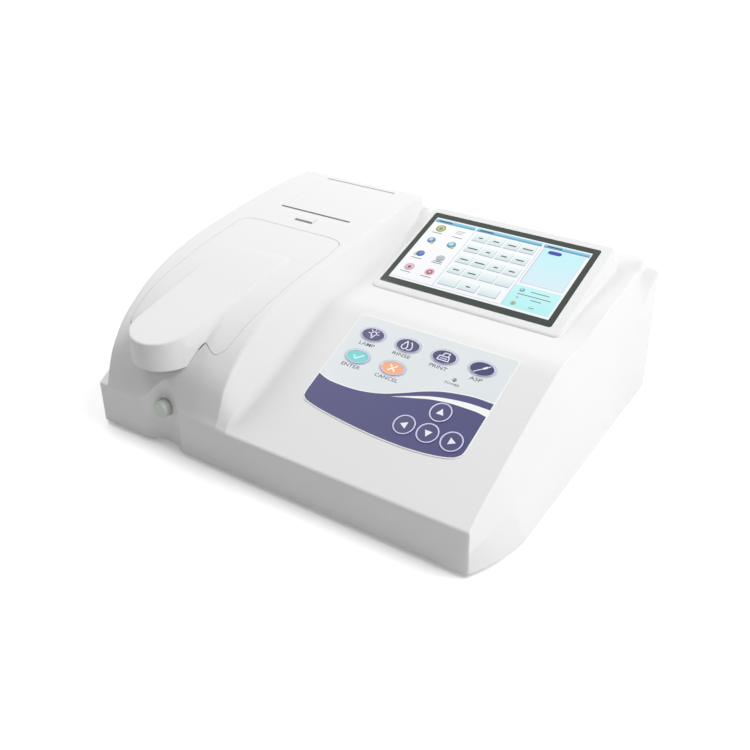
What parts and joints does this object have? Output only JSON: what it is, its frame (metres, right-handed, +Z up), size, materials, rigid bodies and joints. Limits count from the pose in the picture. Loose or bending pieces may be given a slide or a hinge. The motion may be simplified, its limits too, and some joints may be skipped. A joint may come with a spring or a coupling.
{
  "type": "benchtop chemistry analyzer",
  "caption": "Low moulded bench instrument with an arched sample side, a hinged nosed lid, a slip printer, a sloping deck with a screen and a membrane key panel, and flow-cell optics inside.",
  "frame": {"origin": "under the middle of the outline, on the surface that the feet stand on", "axes": "+X to the right along the front edge, +Y to the rear, +Z up"},
  "size_m": [0.403, 0.324, 0.1413],
  "materials": {
    "cover_plastic": "satin moulded ABS",
    "inner_plastic": "fine matt",
    "frame_plastic": "matt",
    "sheet_steel": "smooth powder coat",
    "cast_aluminium": "bead blasted",
    "motor_steel": "plated",
    "polished_steel": "polished",
    "foot_rubber": "matt",
    "tube_silicone": "soft satin",
    "optic_glass": "polished",
    "screen_glass": "polished",
    "display": "backlit",
    "circuit_board": "solder mask",
    "thermal_paper": "smooth paper",
    "gear_brass": "machined",
    "panel_film": "printed satin film",
    "key_navy": "domed film",
    "key_teal": "domed film",
    "key_orange": "domed film",
    "lamp_lens": "translucent",
    "rocker_green": "gloss"
  },
  "bodies": {
    "base": {"top_cover": "cover_plastic", "base_plate": "sheet_steel", "rear_panel": "sheet_steel", "rubber_feet": "foot_rubber", "case_screws": "polished_steel", "hinge_pins": "polished_steel", "sample_well": "inner_plastic", "cell_holder": "cast_aluminium", "flow_cell": "optic_glass", "sipper_probe": "polished_steel", "probe_arm": "cast_aluminium", "silicone_tubing": "tube_silicone", "pump_housing": "inner_plastic", "pump_motor": "motor_steel", "waste_fitting": "inner_plastic", "lamp_housing": "cast_aluminium", "halogen_lamp": "optic_glass", "condenser_lens": "optic_glass", "filter_motor": "motor_steel", "detector_board": "circuit_board", "printer_frame": "frame_plastic", "print_head": "circuit_board", "feed_motor": "motor_steel", "screen_housing": "cover_plastic", "touch_glass": "screen_glass", "lcd_module": "display", "key_overlay": "panel_film", "keypad_board": "circuit_board", "power_led": "lamp_lens", "aspirate_switch": "frame_plastic", "main_board": "circuit_board", "power_supply": "sheet_steel", "fan_frame": "frame_plastic", "power_inlet": "frame_plastic", "data_ports": "frame_plastic", "switch_body": "frame_plastic"},
    "lid": {"sample_lid": "cover_plastic"},
    "printer_door": {"printer_cover": "cover_plastic"},
    "door_latch": {"printer_latch": "cover_plastic"},
    "aspirate_plunger": {"aspirate_button": "inner_plastic"},
    "rocker": {"switch_rocker": "rocker_green"},
    "wheel": {"filter_wheel": "frame_plastic", "optical_filters": "optic_glass"},
    "pump_head": {"pump_rotor": "frame_plastic"},
    "fan": {"fan_rotor": "frame_plastic"},
    "platen": {"platen_roller": "foot_rubber", "platen_gear": "inner_plastic"},
    "pinion": {"feed_pinion": "gear_brass"},
    "roll": {"paper_roll": "thermal_paper"},
    "key_lamp": {"key_lamp": "key_navy"},
    "key_rinse": {"key_rinse": "key_navy"},
    "key_print": {"key_print": "key_navy"},
    "key_aspirate": {"key_aspirate": "key_navy"},
    "key_enter": {"key_enter": "key_teal"},
    "key_cancel": {"key_cancel": "key_orange"},
    "key_up": {"key_up": "key_navy"},
    "key_left": {"key_left": "key_navy"},
    "key_down": {"key_down": "key_navy"},
    "key_right": {"key_right": "key_navy"}
  },
  "joints": [
    {"name": "lid_hinge", "type": "hinge", "parent": "base", "child": "lid", "pos_m": [-0.1165, 0.028, 0.1292], "axis": [-1, 0, 0], "range_deg": [0, 95]},
    {"name": "door_hinge", "type": "hinge", "parent": "base", "child": "printer_door", "pos_m": [-0.1165, 0.15, 0.1371], "axis": [-1, 0, 0], "range_deg": [0, 90]},
    {"name": "latch_slide", "type": "slide", "parent": "base", "child": "door_latch", "axis": [0, -0.995, -0.0995], "range_m": [0, 0.0015], "stiffness_N_per_m": 300},
    {"name": "aspirate_press", "type": "slide", "parent": "base", "child": "aspirate_plunger", "axis": [0, 1, 0], "range_m": [0, 0.003], "stiffness_N_per_m": 300},
    {"name": "rocker_tilt", "type": "hinge", "parent": "base", "child": "rocker", "pos_m": [0.1135, 0.147, 0.043], "axis": [1, 0, 0], "range_deg": [0, 18]},
    {"name": "filter_turn", "type": "hinge", "parent": "base", "child": "wheel", "pos_m": [-0.0535, -0.024, 0.049], "axis": [1, 0, 0], "continuous": true},
    {"name": "pump_turn", "type": "hinge", "parent": "base", "child": "pump_head", "pos_m": [-0.1335, 0.085, 0.037], "axis": [0, 1, 0], "continuous": true},
    {"name": "fan_spin", "type": "hinge", "parent": "base", "child": "fan", "pos_m": [0.0305, 0.141, 0.053], "axis": [0, 1, 0], "continuous": true},
    {"name": "platen_turn", "type": "hinge", "parent": "base", "child": "platen", "pos_m": [-0.1165, 0.082, 0.122], "axis": [1, 0, 0], "continuous": true},
    {"name": "pinion_turn", "type": "hinge", "parent": "base", "child": "pinion", "pos_m": [-0.0735, 0.07, 0.1135], "axis": [1, 0, 0], "continuous": true},
    {"name": "roll_turn", "type": "hinge", "parent": "base", "child": "roll", "pos_m": [-0.1165, 0.121, 0.1], "axis": [1, 0, 0], "continuous": true},
    {"name": "press_lamp", "type": "slide", "parent": "base", "child": "key_lamp", "axis": [0, 0.3827, -0.9239], "range_m": [0, 0.0006], "stiffness_N_per_m": 400},
    {"name": "press_rinse", "type": "slide", "parent": "base", "child": "key_rinse", "axis": [0, 0.3827, -0.9239], "range_m": [0, 0.0006], "stiffness_N_per_m": 400},
    {"name": "press_print", "type": "slide", "parent": "base", "child": "key_print", "axis": [0, 0.3827, -0.9239], "range_m": [0, 0.0006], "stiffness_N_per_m": 400},
    {"name": "press_aspirate", "type": "slide", "parent": "base", "child": "key_aspirate", "axis": [0, 0.3827, -0.9239], "range_m": [0, 0.0006], "stiffness_N_per_m": 400},
    {"name": "press_enter", "type": "slide", "parent": "base", "child": "key_enter", "axis": [0, 0.3827, -0.9239], "range_m": [0, 0.0006], "stiffness_N_per_m": 400},
    {"name": "press_cancel", "type": "slide", "parent": "base", "child": "key_cancel", "axis": [0, 0.3827, -0.9239], "range_m": [0, 0.0006], "stiffness_N_per_m": 400},
    {"name": "press_up", "type": "slide", "parent": "base", "child": "key_up", "axis": [0, 0.3827, -0.9239], "range_m": [0, 0.0006], "stiffness_N_per_m": 400},
    {"name": "press_left", "type": "slide", "parent": "base", "child": "key_left", "axis": [0, 0.3827, -0.9239], "range_m": [0, 0.0006], "stiffness_N_per_m": 400},
    {"name": "press_down", "type": "slide", "parent": "base", "child": "key_down", "axis": [0, 0.3827, -0.9239], "range_m": [0, 0.0006], "stiffness_N_per_m": 400},
    {"name": "press_right", "type": "slide", "parent": "base", "child": "key_right", "axis": [0, 0.3827, -0.9239], "range_m": [0, 0.0006], "stiffness_N_per_m": 400}
  ],
  "couplings": [
    {"joint": "pinion_turn", "follows": "platen_turn", "ratio": -2}
  ]
}
